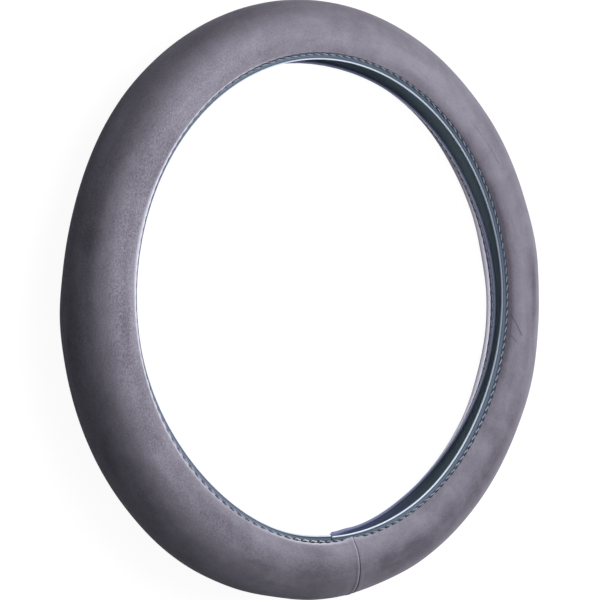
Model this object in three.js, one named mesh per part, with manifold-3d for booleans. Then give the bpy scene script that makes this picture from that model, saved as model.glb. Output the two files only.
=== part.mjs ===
// Steering wheel cover: a suede sleeve sewn over a rubber hoop. The hoop's section is a C that
// opens towards the middle of the ring, so that it grips the rim of a wheel.
// Millimetres, +Z up. The cover lies flat on its rear face, its axis on Z, its lowest face at
// z = 0 and the joint of the hoop on +X. Every section is drawn in two coordinates: outwards from
// the middle of the section, and up from the middle plane of the ring.

import * as THREE from "three";
import { mergeVertices } from "three/addons/utils/BufferGeometryUtils.js";
import Module from "manifold-3d";

// Ring and section, over the sleeve
const OUTER_DIAMETER = 380;
const SECTION_WIDTH = 40;
const SECTION_HEIGHT = 42.4;
const REST_BAND_WIDTH = 6;

// Walls, and the gap between two pieces that touch
const SLEEVE_THICKNESS = 2;
const SLEEVE_EDGE_THICKNESS = 1;
const SLEEVE_TAPER_LENGTH = 8;
const HOOP_WALL = 1.8;
const CLEARANCE = 0.3;

// Lips of the hoop: a round bead on the edge, a fine groove, a bare land and the sewing groove
const MOUTH_HEIGHT = 14.9;
const LIP_SETBACK = 0.6;
const LAND_WIDTH = 5;
const BEAD_DIAMETER = 2;
const BEAD_RISE = 0.15;
const FINE_GROOVE_WIDTH = 0.6;
const FINE_GROOVE_DEPTH = 0.35;

// Threads
const THREAD_DIAMETER = 0.9;
const STITCH_PITCH = 6.25;
const STITCH_RISE = 0.35;
const SEAM_THREAD_DIAMETER = 0.6;

// Joint of the hoop, and the cross seam of the sleeve a little way round from it
const JOINT_GAP = 0.6;
const JOINT_SLANT_DEG = 34;
const JOINT_LIP_STEP = 1.3;
const JOINT_STEP_LENGTH = 40;
const SEAM_FROM_JOINT = 14;
const SEAM_CREASE_WIDTH = 1.6;
const SEAM_CREASE_DEPTH = 0.6;
const SEAM_TURN_IN = 2;

// A soft cover off the wheel relaxes a little out of round
const OUT_OF_ROUND = 2.8;
const LONG_AXIS_DEG = 147.5;

// Fineness of the surfaces
const RING_STEPS = 48;
const BEAD_STEPS = 4;
const SIDE_STEPS = 4;
const SHOULDER_STEPS = 2;
const HIDDEN_STEPS = 4;
const THREAD_SIDES = 3;
const FULL_TURN = 2 * Math.PI;
const QUARTER_TURN = Math.PI / 2;

// The hoop's outer face is an ellipse under the sleeve, and runs straight on to each lip
const CENTRE_RADIUS = (OUTER_DIAMETER - SECTION_WIDTH) / 2;
const COVERED = SLEEVE_THICKNESS + CLEARANCE;
const FACE_HALF_WIDTH = SECTION_WIDTH / 2 - COVERED;
const FACE_HALF_HEIGHT = SECTION_HEIGHT / 2 - COVERED;
const LIP = new THREE.Vector2(LIP_SETBACK - SECTION_WIDTH / 2, MOUTH_HEIGHT / 2);
const SHOULDER = tangentAngle(LIP);
const LAND_ALONG = onArc(SHOULDER, 0).sub(LIP).normalize();
const LAND_OUT = new THREE.Vector2(-LAND_ALONG.y, LAND_ALONG.x);
const LAND_LENGTH = onArc(SHOULDER, 0).distanceTo(LIP);

// Places on the land, as distances from the edge of the lip
const THREAD_SPACE = THREAD_DIAMETER / 2 + CLEARANCE;
const SEWING_LINE = LAND_WIDTH - THREAD_SPACE;
const SEWING_DEPTH = STITCH_RISE + THREAD_DIAMETER / 2 + CLEARANCE;
const REST_HALF_ANGLE = restHalfAngle();

// Where the line from a point of the lip touches the ellipse of the hoop's outer face
function tangentAngle(point) {
  const across = point.x / FACE_HALF_WIDTH;
  const up = point.y / FACE_HALF_HEIGHT;
  return Math.atan2(up, across) - Math.acos(1 / Math.hypot(across, up));
}

// Half of the angle that the flat band at the bottom of the section takes
function restHalfAngle() {
  const reach = FACE_HALF_WIDTH + (COVERED * FACE_HALF_HEIGHT) / FACE_HALF_WIDTH;
  return Math.asin(REST_BAND_WIDTH / 2 / reach);
}

// Outward direction of the ellipse at an angle
function arcNormal(angle) {
  const across = Math.cos(angle) / FACE_HALF_WIDTH;
  const up = Math.sin(angle) / FACE_HALF_HEIGHT;
  return new THREE.Vector2(across, up).normalize();
}

// A point of the section at an angle round the ellipse and a height over the hoop's outer face
function onArc(angle, height) {
  const across = FACE_HALF_WIDTH * Math.cos(angle);
  const up = FACE_HALF_HEIGHT * Math.sin(angle);
  return new THREE.Vector2(across, up).addScaledVector(arcNormal(angle), height);
}

// A point of the section at a distance from the edge of the lip and a height over the land
function onLand(fromLip, height) {
  return LIP.clone().addScaledVector(LAND_ALONG, fromLip).addScaledVector(LAND_OUT, height);
}

// Equal steps from one value to another, without the first
function steps(from, to, count) {
  return Array.from({ length: count }, (_, i) => from + ((to - from) * (i + 1)) / count);
}

// Angles round half of the section, from the outermost point to where the land begins
function faceAngles() {
  const flatStart = QUARTER_TURN - REST_HALF_ANGLE;
  const flatEnd = QUARTER_TURN + REST_HALF_ANGLE;
  return [0, ...steps(0, flatStart, SIDE_STEPS), flatEnd, ...steps(flatEnd, SHOULDER, SHOULDER_STEPS)];
}

function hiddenAngles() {
  return [0, ...steps(0, SHOULDER, HIDDEN_STEPS)];
}

// The whole closed outline from its upper half, which starts and ends on the middle plane
function mirrored(upper) {
  const lower = upper.slice(1, -1).reverse();
  return [...upper, ...lower.map((p) => new THREE.Vector2(p.x, -p.y))];
}

// Upper half of the hoop: outer face, sewing groove, land, fine groove, bead, inner face
function hoopHalf() {
  const bead = BEAD_DIAMETER / 2;
  const grooveFloor = THREAD_SPACE / 2;
  const beadAngles = [0, ...steps(0, Math.PI, BEAD_STEPS)];
  const beadHeight = BEAD_RISE - bead;
  const fineGroove = bead + FINE_GROOVE_WIDTH;
  return [
    ...hiddenAngles().map((angle) => onArc(angle, 0)),
    onLand(SEWING_LINE + THREAD_SPACE, 0),
    onLand(SEWING_LINE + grooveFloor, -SEWING_DEPTH),
    onLand(SEWING_LINE - grooveFloor, -SEWING_DEPTH),
    onLand(SEWING_LINE - THREAD_SPACE, 0),
    onLand(fineGroove + FINE_GROOVE_WIDTH / 2, 0),
    onLand(fineGroove, -FINE_GROOVE_DEPTH),
    ...beadAngles.map((angle) =>
      onLand(bead - bead * Math.sin(angle), beadHeight + bead * Math.cos(angle)),
    ),
    onLand(fineGroove, -HOOP_WALL),
    ...hiddenAngles()
      .reverse()
      .map((angle) => onArc(angle, -HOOP_WALL)),
  ];
}

// Thickness of the sleeve at a distance from the lip: the sewing draws its edge down
function sleeveThickness(fromLip) {
  const share = THREE.MathUtils.smoothstep(fromLip, LAND_WIDTH, LAND_WIDTH + SLEEVE_TAPER_LENGTH);
  return THREE.MathUtils.lerp(SLEEVE_EDGE_THICKNESS, SLEEVE_THICKNESS, share);
}

// Outer face of the sleeve on the upper half, from the outermost point to its edge
function sleeveFace() {
  const shoulderStart = QUARTER_TURN + REST_HALF_ANGLE;
  const round = faceAngles().map((angle) => {
    const past = Math.max(0, angle - shoulderStart) / (SHOULDER - shoulderStart);
    const fromLip = LAND_LENGTH + (1 - past) * SLEEVE_TAPER_LENGTH;
    return onArc(angle, CLEARANCE + sleeveThickness(fromLip));
  });
  const edge = LAND_WIDTH + SLEEVE_EDGE_THICKNESS / 3;
  const flat = steps(LAND_LENGTH, edge, SHOULDER_STEPS);
  return [...round, ...flat.map((s) => onLand(s, CLEARANCE + sleeveThickness(s)))];
}

// Inner face of the sleeve, a clearance over the hoop
function sleeveLining() {
  const round = hiddenAngles().map((angle) => onArc(angle, CLEARANCE));
  return [...round, onLand(LAND_WIDTH + CLEARANCE / 2, CLEARANCE)];
}

// Upper half of the sleeve, with a rounded edge beside the sewing
function sleeveHalf() {
  const nose = onLand(LAND_WIDTH, CLEARANCE + SLEEVE_EDGE_THICKNESS / 2);
  return [...sleeveFace(), nose, ...sleeveLining().reverse()];
}

// How far the lowest face lies under the middle plane of the ring
const MIDDLE_HEIGHT = -Math.min(...mirrored(sleeveHalf()).map((p) => p.y));

// The ring is a polygon of RING_STEPS sides: the share of the radius at an angle between corners
function facetShare(angle) {
  const step = FULL_TURN / RING_STEPS;
  const past = THREE.MathUtils.euclideanModulo(angle, step);
  return Math.cos(step / 2) / Math.cos(past - step / 2);
}

// A point or a direction of the section, turned to an angle round the ring
function placed(point, angle) {
  const radius = (CENTRE_RADIUS + point.x) * facetShare(angle);
  return new THREE.Vector3(radius * Math.cos(angle), radius * Math.sin(angle), point.y);
}

function turned(direction, angle) {
  const across = direction.x;
  return new THREE.Vector3(across * Math.cos(angle), across * Math.sin(angle), direction.y);
}

// A route that is given step by step: a point, the way along and the way out of the surface
class Route extends THREE.Curve {
  constructor(count, place) {
    super();
    this.count = count;
    this.place = place;
  }

  getPoint(share) {
    return this.place(Math.round(share * this.count)).point;
  }

  getUtoTmapping(share) {
    return share;
  }

  computeFrenetFrames(count) {
    const places = Array.from({ length: count + 1 }, (_, i) => this.place(i));
    return {
      tangents: places.map((at) => at.along),
      normals: places.map((at) => at.out),
      binormals: places.map((at) => new THREE.Vector3().crossVectors(at.along, at.out)),
    };
  }
}

// A section drawn as outwards and sideways, drawn along a route
function swept(outline, route) {
  const options = { steps: route.count, bevelEnabled: false, extrudePath: route };
  return new THREE.ExtrudeGeometry(new THREE.Shape(outline), options);
}

// Outline of a thread of any diameter, one corner down
function threadOutline(diameter) {
  return Array.from({ length: THREAD_SIDES }, (_, i) => {
    const angle = Math.PI + (FULL_TURN * i) / THREAD_SIDES;
    return new THREE.Vector2(Math.cos(angle), Math.sin(angle)).multiplyScalar(diameter / 2);
  });
}

// The ring whose section is a closed outline, round the Z axis
function revolved(outline) {
  const points = outline.map((p) => new THREE.Vector2(CENTRE_RADIUS + p.x, p.y));
  points.push(points[0].clone());
  return new THREE.LatheGeometry(points, RING_STEPS).rotateX(QUARTER_TURN);
}

// Booleans
const wasm = await Module();
wasm.setup();

function toSolid(geometry) {
  const bare = geometry.clone();
  bare.deleteAttribute("normal");
  bare.deleteAttribute("uv");
  const merged = mergeVertices(bare, 1e-4);
  const vertProperties = merged.attributes.position.array;
  const triVerts = new Uint32Array(merged.index.array);
  return new wasm.Manifold(new wasm.Mesh({ numProp: 3, vertProperties, triVerts }));
}

function toGeometry(solid) {
  const mesh = solid.getMesh();
  const geometry = new THREE.BufferGeometry();
  geometry.setAttribute("position", new THREE.BufferAttribute(mesh.vertProperties, 3));
  geometry.setIndex(new THREE.BufferAttribute(mesh.triVerts, 1));
  return geometry;
}

// The relaxed shape: out of round, and raised so that the cover stands on z = 0
function relaxed(geometry) {
  const position = geometry.attributes.position;
  const longAxis = THREE.MathUtils.degToRad(LONG_AXIS_DEG);
  const point = new THREE.Vector3();
  for (let i = 0; i < position.count; i++) {
    point.fromBufferAttribute(position, i);
    const angle = Math.atan2(point.y, point.x);
    const radius = Math.hypot(point.x, point.y) + OUT_OF_ROUND * Math.cos(2 * (angle - longAxis));
    const height = point.z + MIDDLE_HEIGHT;
    position.setXYZ(i, radius * Math.cos(angle), radius * Math.sin(angle), height);
  }
  geometry.computeVertexNormals();
  return geometry;
}

// The joint is cut on a slant: how far round from the front lip it lies at a height
function jointOffset(height) {
  return (LIP.y - height) * Math.tan(THREE.MathUtils.degToRad(JOINT_SLANT_DEG));
}

// Past the joint, the end of the rear lip stands in towards the middle of the ring
function steppedLip(geometry) {
  const position = geometry.attributes.position;
  const point = new THREE.Vector3();
  const landFoot = onLand(SEWING_LINE - THREAD_SPACE, 0);
  for (let i = 0; i < position.count; i++) {
    point.fromBufferAttribute(position, i);
    const angle = Math.atan2(point.y, point.x);
    const across = Math.hypot(point.x, point.y) / facetShare(angle) - CENTRE_RADIUS;
    const onLip = (landFoot.x - across) / (landFoot.x - LIP.x);
    const along = angle * (CENTRE_RADIUS + across) - jointOffset(point.z);
    const fromJoint = along / JOINT_STEP_LENGTH;
    if (point.z < 0 && onLip > 0 && fromJoint > 0 && fromJoint < 1) {
      const step = JOINT_LIP_STEP * Math.min(onLip, 1) * (1 - fromJoint) ** 2;
      point.addScaledVector(new THREE.Vector3(Math.cos(angle), Math.sin(angle), 0), -step);
      position.setXYZ(i, point.x, point.y, point.z);
    }
  }
  return geometry;
}

// Rubber hoop, open at its slanted joint
function rubberHoop() {
  const reach = SECTION_WIDTH + 2 * OUT_OF_ROUND;
  const gap = new THREE.BoxGeometry(reach, JOINT_GAP, 2 * SECTION_HEIGHT);
  gap.rotateX(THREE.MathUtils.degToRad(JOINT_SLANT_DEG));
  gap.translate(CENTRE_RADIUS, jointOffset(0), 0);
  const hoop = toSolid(revolved(mirrored(hoopHalf()))).subtract(toSolid(gap));
  return relaxed(steppedLip(toGeometry(hoop)));
}

// Cross seam of the sleeve: its two ends meet in a crease, and are sewn just beside it inside
const CREASE_ANGLE = SEAM_FROM_JOINT / CENTRE_RADIUS;
const SEAM_THREAD_ANGLE = CREASE_ANGLE + SEAM_TURN_IN / CENTRE_RADIUS;

// A route across the sleeve through points of the section, at an angle round the ring
function acrossSleeve(points, angle) {
  return new Route(points.length - 1, (i) => {
    const before = points[Math.max(i - 1, 0)];
    const after = points[Math.min(i + 1, points.length - 1)];
    const along = after.clone().sub(before).normalize();
    const out = new THREE.Vector2(along.y, -along.x);
    return {
      point: placed(points[i], angle),
      along: turned(along, angle),
      out: turned(out, angle),
    };
  });
}

// From the lower edge of a half outline to its upper edge
function bothHalves(half) {
  const lower = half.slice(1).reverse();
  return [...lower.map((p) => new THREE.Vector2(p.x, -p.y)), ...half];
}

// The crease that shows outside, where both ends turn in
function seamCrease() {
  const past = CLEARANCE;
  const halfWidth = (SEAM_CREASE_WIDTH / 2) * (1 + past / SEAM_CREASE_DEPTH);
  const outline = [
    new THREE.Vector2(-SEAM_CREASE_DEPTH, 0),
    new THREE.Vector2(past, -halfWidth),
    new THREE.Vector2(past, halfWidth),
  ];
  const nose = onLand(LAND_WIDTH - CLEARANCE, CLEARANCE + SLEEVE_EDGE_THICKNESS);
  return swept(outline, acrossSleeve(bothHalves([...sleeveFace(), nose]), CREASE_ANGLE));
}

// Middle line of the thread inside the seam, sunk into the lining
function seamThreadLine() {
  const height = CLEARANCE + SEAM_THREAD_DIAMETER / 2;
  return hiddenAngles().map((angle) => onArc(angle, height));
}

// The space that the thread takes inside the seam, a little longer than the thread
function seamThreadSpace() {
  const half = SEAM_THREAD_DIAMETER / 2 + CLEARANCE;
  const outline = [
    new THREE.Vector2(-half, -half),
    new THREE.Vector2(half, -half),
    new THREE.Vector2(half, half),
    new THREE.Vector2(-half, half),
  ];
  const line = seamThreadLine();
  const end = line.at(-1).clone().addScaledVector(LAND_ALONG, -2 * CLEARANCE);
  return swept(outline, acrossSleeve(bothHalves([...line, end]), SEAM_THREAD_ANGLE));
}

function seamThread() {
  const route = acrossSleeve(bothHalves(seamThreadLine()), SEAM_THREAD_ANGLE);
  return relaxed(mergeVertices(swept(threadOutline(SEAM_THREAD_DIAMETER), route)));
}

// Suede sleeve, a band that is closed by its cross seam
function suedeSleeve() {
  const band = toSolid(revolved(mirrored(sleeveHalf())));
  const sewn = band.subtract(toSolid(seamCrease())).subtract(toSolid(seamThreadSpace()));
  return relaxed(toGeometry(sewn));
}

// The sewing on one lip: a thread that rises over each stitch and dips between two of them.
// It starts and ends beside the joint of the hoop.
function sewing(side) {
  const line = onLand(SEWING_LINE, 0);
  const radius = CENTRE_RADIUS + line.x;
  const count = 2 * Math.round((FULL_TURN * radius) / STITCH_PITCH) - 1;
  const joint = jointOffset(side * line.y) / radius;
  const start = (JOINT_GAP / 2 + STITCH_PITCH / 4) / radius;
  const out = new THREE.Vector2(LAND_OUT.x, side * LAND_OUT.y);
  const route = new Route(count, (i) => {
    const angle = joint + start + ((FULL_TURN - 2 * start) * i) / count;
    const height = STITCH_RISE * (i % 2 ? 1 : -1);
    const point = new THREE.Vector2(line.x, side * line.y).addScaledVector(out, height);
    return {
      point: placed(point, angle),
      along: new THREE.Vector3(-Math.sin(angle), Math.cos(angle), 0),
      out: turned(out, angle),
    };
  });
  return relaxed(swept(threadOutline(THREAD_DIAMETER), route));
}

// Materials
const SUEDE = { color: 0x7b7885, roughness: 0.95, metalness: 0 };
const RUBBER = { color: 0x46536a, roughness: 0.45, metalness: 0 };
const THREAD = { color: 0x76849c, roughness: 0.7, metalness: 0 };

function piece(name, geometry, look) {
  const mesh = new THREE.Mesh(geometry, new THREE.MeshStandardMaterial(look));
  mesh.name = name;
  return mesh;
}

const cover = new THREE.Group();
cover.name = "steering_wheel_cover";
cover.add(piece("rubber_ring", rubberHoop(), RUBBER));
cover.add(piece("suede_sleeve", suedeSleeve(), SUEDE));
cover.add(piece("front_stitching", sewing(1), THREAD));
cover.add(piece("rear_stitching", sewing(-1), THREAD));
cover.add(piece("seam_stitching", seamThread(), THREAD));

export default cover;
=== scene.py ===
# Steering wheel cover: a suede sleeve sewn over a rubber hoop that opens towards the middle of
# the ring. Metres, +Z up, the cover lying flat on the floor with the joint of the hoop on +X.
# Each section is drawn in two coordinates: outwards from its middle, and up from its middle.

import math

import bmesh
import bpy
from mathutils import Matrix, Vector


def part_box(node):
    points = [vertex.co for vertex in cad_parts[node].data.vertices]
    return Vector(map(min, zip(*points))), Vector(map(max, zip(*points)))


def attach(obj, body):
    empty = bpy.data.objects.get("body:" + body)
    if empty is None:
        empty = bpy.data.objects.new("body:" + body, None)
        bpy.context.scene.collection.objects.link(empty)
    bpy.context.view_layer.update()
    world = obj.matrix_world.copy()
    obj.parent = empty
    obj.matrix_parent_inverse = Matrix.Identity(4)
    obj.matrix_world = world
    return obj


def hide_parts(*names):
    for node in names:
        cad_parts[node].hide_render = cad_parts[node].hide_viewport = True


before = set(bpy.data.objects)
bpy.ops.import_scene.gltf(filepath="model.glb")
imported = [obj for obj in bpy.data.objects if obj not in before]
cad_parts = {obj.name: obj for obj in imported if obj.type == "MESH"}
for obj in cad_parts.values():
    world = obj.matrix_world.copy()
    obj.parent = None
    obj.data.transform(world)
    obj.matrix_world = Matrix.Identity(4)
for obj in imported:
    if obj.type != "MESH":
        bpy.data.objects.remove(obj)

bl_info = {
    "name": "Steering wheel cover",
    "version": (1, 0, 0),
    "blender": (4, 5, 0),
    "location": "3D View > Sidebar > Cover",
    "description": "Builds a suede steering wheel cover with a stitched rubber hoop",
    "category": "Add Mesh",
}

MM = 0.001
FULL_TURN = 2 * math.pi
SLEEVE_LOW, SLEEVE_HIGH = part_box("suede_sleeve")
SLEEVE_SPAN = SLEEVE_HIGH - SLEEVE_LOW
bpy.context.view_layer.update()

# Where the soft band runs full or slack: degrees round the ring, degrees it reaches to each
# side, and millimetres outwards
FULL_AND_SLACK = (
    (13, 12, -0.7),
    (76, 14, 0.7),
    (109, 12, 0.8),
    (150, 16, -0.5),
    (170, 35, -0.55),
    (264, 26, -1.5),
    (281, 8, 0.5),
    (312, 40, 1.2),
    (328, 14, 0.6),
    (349, 9, -0.7),
)

# The same for each lip alone: the rear one stands back, the front one stands in
REAR_LIP_SLACK = ((88, 50, 5.2), (355, 13, 2.6), (215, 36, 2.8), (14, 18, 1.1), (5, 5, 1.5))
FRONT_LIP_SLACK = ((320, 34, -2.3), (66, 40, -1.8))

# Where the rear lip is turned up towards the front one
REAR_LIP_TURNED = ((105, 75, 2.3),)

# Where the sewn edge of the sleeve is drawn back from the front lip and from the rear lip
FRONT_DRAWN_BACK = ((215, 45, 1.2), (352, 12, 0.8))
REAR_DRAWN_BACK = ((95, 65, 2.1),)

# Creases of the cloth, sunk by the bump and darkened by painted shade: degrees round the ring and
# round the section at both ends, width in millimetres, and depth
CREASES = (
    ((92.0, 143), (89.5, 130), 0.8, 0.9),
    ((89.5, 130), (86.5, 117), 0.9, 1.0),
    ((86.5, 140), (84.5, 126), 0.7, 0.7),
    ((145.5, 114), (139, 110), 0.6, 0.4),
    ((139, 110), (132, 107), 0.6, 0.5),
    ((266.3, 84), (265.8, 98), 0.6, 0.5),
    ((265.8, 98), (265.6, 101), 0.9, 0.9),
)

# Painted light and shade on the nap, lighter or darker by where the lamps fall: degrees round the
# ring and round the section, the reach each way, and the shade
PAINTED_NAP_SHADE = (
    (15, 82, 80, 48, -0.75),
    (58, 88, 30, 30, -0.35),
    (105, 122, 45, 34, 0.65),
    (150, 118, 45, 36, 0.85),
    (183, 115, 25, 30, 0.4),
    (215, 95, 50, 45, 0.65),
    (222, 35, 30, 25, -0.5),
    (250, 22, 14, 20, 0.5),
    (266, 42, 14, 22, -0.5),
    (275, 80, 55, 35, 0.45),
    (312, 45, 10, 14, -0.35),
    (336, 38, 14, 25, 0.4),
    (110, 152, 75, 22, -1.8),
    (108, 133, 60, 22, -0.45),
    (145, -150, 32, 40, -1.2),
    (97.5, 87, 17, 14, -0.85),
    (166, 133, 15, 15, -0.5),
    (349, 126, 15, 18, -0.25),
    (279, 105, 25, 14, -0.35),
    (163, 94, 20, 25, 0.25),
    (313, 92, 16, 16, 0.35),
    (278, 62, 20, 14, 0.3),
)

# Where the sewn edge gets a painted highlight: degrees round the ring, degrees it reaches, and
# how strong
FRONT_EDGE_HIGHLIGHT = ((275, 80, 0.6), (235, 40, 0.3), (353, 24, 0.35))
REAR_EDGE_HIGHLIGHT = ((84, 66, 1.0), (8, 40, 0.8))

# Where the painted highlight on the bead is weaker, and by how much
WEAKER_BEAD_HIGHLIGHT = ((270, 75, 0.65), (102, 75, 0.75), (345, 25, 0.25))

# Where else a tone, a painted highlight, painted light or the sewing changes: degrees round the
# ring, and degrees it reaches
WIDE_EDGE_HIGHLIGHT = (275, 40)
FRONT_LIP_VIOLET_LIGHT = (318, 38)
JOINT_PAINTED_LIGHT = (8, 35)
CLEAN_LAND = (0, 28)
COARSE_GRAIN = (268, 100)
DEEP_SEWING = (225, 50)
LOOSE_SEWING = (350, 40)

# Between these distances from the lip, a move of the soft band sets in or dies out
SWELLING_SETS_IN = (6 * MM, 16 * MM)
REAR_SLACK_DIES_OUT = (8 * MM, 26 * MM)
REAR_TURN_DIES_OUT = (1 * MM, 10 * MM)
FRONT_SLACK_DIES_OUT = (1 * MM, 7 * MM)

# Painted shade in the grooves of the hoop and where the thread dips
GROOVE_SHADE = (0.02, 0.022, 0.034, 1)
# Painted shade in the seam and the creases of the cloth
CREASE_SHADE = (0.02, 0.02, 0.03, 1)
# Painted highlight on the thread beside the joint
THREAD_HIGHLIGHT = (0.62, 0.68, 0.68, 1)

# Name, power, size, degrees round the ring, degrees over the floor, and distance
LAMPS = (
    ("far_lamp", 15, 0.9, 101, 25, 1.4),
    ("top_lamp", 11, 0.9, 146, 55, 1.4),
    ("middle_lamp", 0.4, 0.3, 0, 90, 0.42),
    ("inner_lamp", 0.2, 0.1, 0, 90, 0.16),
    ("low_lamp", 0.3, 0.03, 281, 12, 0.1),
)


class CoverSizes(bpy.types.PropertyGroup):
    """Sizes of the cover"""

    outer_diameter: bpy.props.FloatProperty(
        name="Outer diameter",
        description="Across the ring over the sleeve, before it relaxes out of round",
        default=(SLEEVE_SPAN.x + SLEEVE_SPAN.y) / 2,
        unit="LENGTH",
        precision=4,
    )
    section_width: bpy.props.FloatProperty(
        name="Section width",
        description="Across the section, level with the floor",
        default=40 * MM,
        unit="LENGTH",
        precision=4,
    )
    section_height: bpy.props.FloatProperty(
        name="Section height",
        description="Across the section, along the axis of the ring",
        default=42.4 * MM,
        unit="LENGTH",
        precision=4,
    )
    middle_height: bpy.props.FloatProperty(
        name="Middle height",
        description="Height of the middle plane of the ring over the floor",
        default=(SLEEVE_LOW.z + SLEEVE_HIGH.z) / 2,
        unit="LENGTH",
        precision=4,
    )
    sleeve_thickness: bpy.props.FloatProperty(
        name="Sleeve thickness",
        description="Thickness of the suede cloth with its backing",
        default=2 * MM,
        unit="LENGTH",
        precision=4,
    )
    edge_thickness: bpy.props.FloatProperty(
        name="Edge thickness",
        description="Thickness of the sleeve where the sewing draws its edge down",
        default=1 * MM,
        unit="LENGTH",
        precision=4,
    )
    hoop_wall: bpy.props.FloatProperty(
        name="Hoop wall",
        description="Thickness of the rubber hoop",
        default=1.8 * MM,
        unit="LENGTH",
        precision=4,
    )
    mouth_height: bpy.props.FloatProperty(
        name="Mouth height",
        description="Opening between the two lips of the hoop",
        default=14.9 * MM,
        unit="LENGTH",
        precision=4,
    )
    land_width: bpy.props.FloatProperty(
        name="Land width",
        description="Bare rubber from the edge of a lip to the sleeve",
        default=5 * MM,
        unit="LENGTH",
        precision=4,
    )
    thread_diameter: bpy.props.FloatProperty(
        name="Thread diameter",
        description="Diameter of the sewing thread on both lips",
        default=0.9 * MM,
        unit="LENGTH",
        precision=4,
    )
    stitches: bpy.props.IntProperty(
        name="Stitches",
        description="Number of stitches round one lip",
        default=154,
    )
    seam_from_joint: bpy.props.FloatProperty(
        name="Seam from joint",
        description="Distance of the sleeve's cross seam from the joint of the hoop",
        default=14 * MM,
        unit="LENGTH",
        precision=4,
    )
    out_of_round: bpy.props.FloatProperty(
        name="Out of round",
        description="How far the relaxed ring departs from a circle",
        default=2.8 * MM,
        unit="LENGTH",
        precision=4,
    )
    long_axis: bpy.props.FloatProperty(
        name="Long axis",
        description="Direction in which the relaxed ring is longest",
        default=math.radians(147.5),
        subtype="ANGLE",
    )


class CoverColours(bpy.types.PropertyGroup):
    """Colours of the cover"""

    # The lighter and the darker tone of the nap: its random patches and its painted light and
    # shade are blended between them
    suede: bpy.props.FloatVectorProperty(
        name="Suede",
        description="The nap where it lies flat",
        default=(0.205, 0.192, 0.236, 1),
        size=4,
        subtype="COLOR",
    )
    suede_dark: bpy.props.FloatVectorProperty(
        name="Suede, brushed dark",
        description="The nap where it stands away from the light",
        default=(0.118, 0.108, 0.136, 1),
        size=4,
        subtype="COLOR",
    )
    # Painted highlight along the sewn edges of the sleeve and on the ridge of its seam
    suede_highlight: bpy.props.FloatVectorProperty(
        name="Suede, raised",
        description="The nap where the sewing and the seam raise it to the light",
        default=(0.78, 0.76, 0.88, 1),
        size=4,
        subtype="COLOR",
    )
    rubber: bpy.props.FloatVectorProperty(
        name="Rubber",
        description="The hoop",
        default=(0.024, 0.034, 0.055, 1),
        size=4,
        subtype="COLOR",
    )
    rubber_land: bpy.props.FloatVectorProperty(
        name="Rubber, land",
        description="The bare land along each lip, dulled by dust",
        default=(0.068, 0.092, 0.135, 1),
        size=4,
        subtype="COLOR",
    )
    # Painted light: the inside of the hoop is made lighter than the rubber
    rubber_inside_painted_light: bpy.props.FloatVectorProperty(
        name="Rubber, inside",
        description="The inside of the hoop, dusty from its mould",
        default=(0.2, 0.26, 0.31, 1),
        size=4,
        subtype="COLOR",
    )
    # Painted light: the violet tone of the rear lip and its inner rim, and of the front lip at
    # one place
    rubber_rim_painted_light: bpy.props.FloatVectorProperty(
        name="Rubber, rim",
        description="The rear lip and its inner rim, with a violet bloom",
        default=(0.075, 0.08, 0.14, 1),
        size=4,
        subtype="COLOR",
    )
    # Painted light: a pale violet tone inside the rear lip beside the joint, lighter deeper in
    rubber_joint_painted_light: bpy.props.FloatVectorProperty(
        name="Rubber, bloom",
        description="The pale bloom inside the rear lip beside the joint",
        default=(0.3, 0.33, 0.6, 1),
        size=4,
        subtype="COLOR",
    )
    # Painted highlight along the crest of the bead
    bead: bpy.props.FloatVectorProperty(
        name="Bead",
        description="The crest of the bead along each lip, rubbed pale",
        default=(0.6, 0.67, 0.78, 1),
        size=4,
        subtype="COLOR",
    )
    thread: bpy.props.FloatVectorProperty(
        name="Thread",
        description="The sewing on both lips",
        default=(0.19, 0.235, 0.29, 1),
        size=4,
        subtype="COLOR",
    )


def smooth(value, low, high):
    """0 below low, 1 above high, and a soft slope between them"""
    share = min(max((value - low) / (high - low), 0), 1)
    return share * share * (3 - 2 * share)


def bell(distance, reach):
    """1 in the middle, 0 from reach on"""
    if abs(distance) >= reach:
        return 0
    return (1 + math.cos(math.pi * distance / reach)) / 2


def spread(low, high, count):
    """Equal steps from low to high, both included"""
    return [low + (high - low) * i / count for i in range(count + 1)]


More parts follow.
